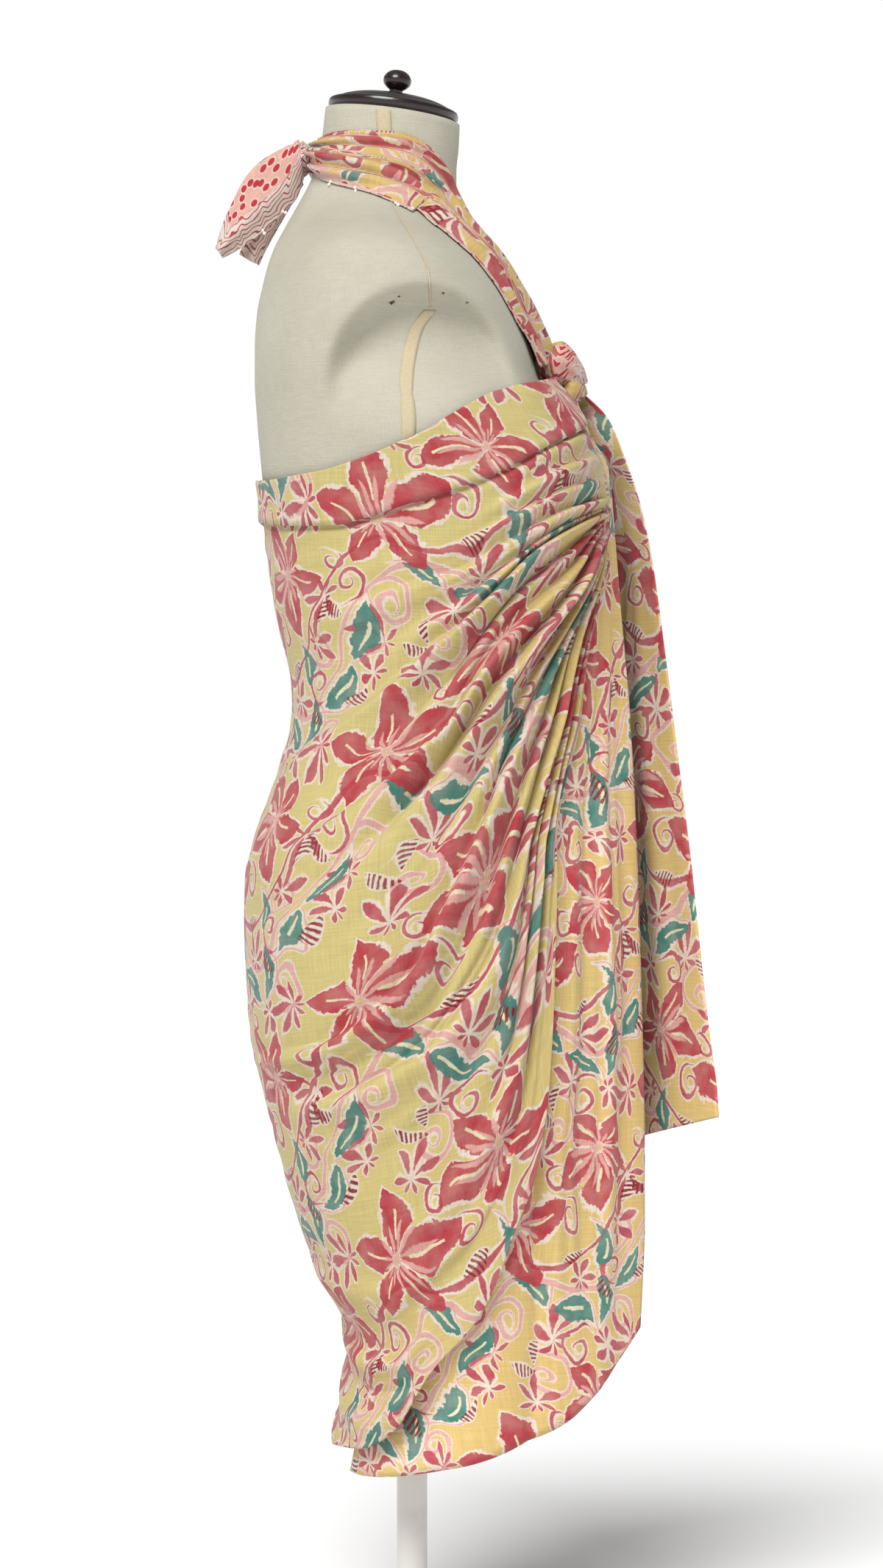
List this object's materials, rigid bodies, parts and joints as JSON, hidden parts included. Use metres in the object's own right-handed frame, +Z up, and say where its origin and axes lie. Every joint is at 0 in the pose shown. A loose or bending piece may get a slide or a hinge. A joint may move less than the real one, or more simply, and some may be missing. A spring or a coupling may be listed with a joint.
{
  "type": "sarong tied as a halter dress on a limbless dress form",
  "caption": "Printed cotton sarong wrapped round the body, knotted at the chest and tied as a halter, on a limbless linen dress form with a pole and a round base.",
  "frame": {"origin": "centre of the base's flat underside, on the floor", "axes": "+Z up, -Y the way the form faces, -X the near side of the picture"},
  "size_m": [0.4101, 0.4622, 1.4375],
  "materials": {
    "yellow_cotton": "lemon yellow cotton with a hand-print of flowers and leaves",
    "pink_cotton": "pale pink end border of the same cotton with fine red lines and dots",
    "linen": "grey-beige linen cover",
    "dark_wood": "glossy dark turned wood",
    "pale_metal": "plain pale paint"
  },
  "bodies": {
    "root": {"body_wrap": "yellow_cotton", "near_fall": "yellow_cotton", "far_fall": "yellow_cotton", "near_strap": "yellow_cotton", "far_strap": "yellow_cotton", "chest_knot": "pink_cotton", "nape_knot": "pink_cotton", "upper_tail": "pink_cotton", "lower_tail": "pink_cotton", "dress_form": "linen", "neck_cap": "dark_wood", "neck_knob": "dark_wood", "pole": "pale_metal", "floor_base": "pale_metal"}
  },
  "joints": []
}
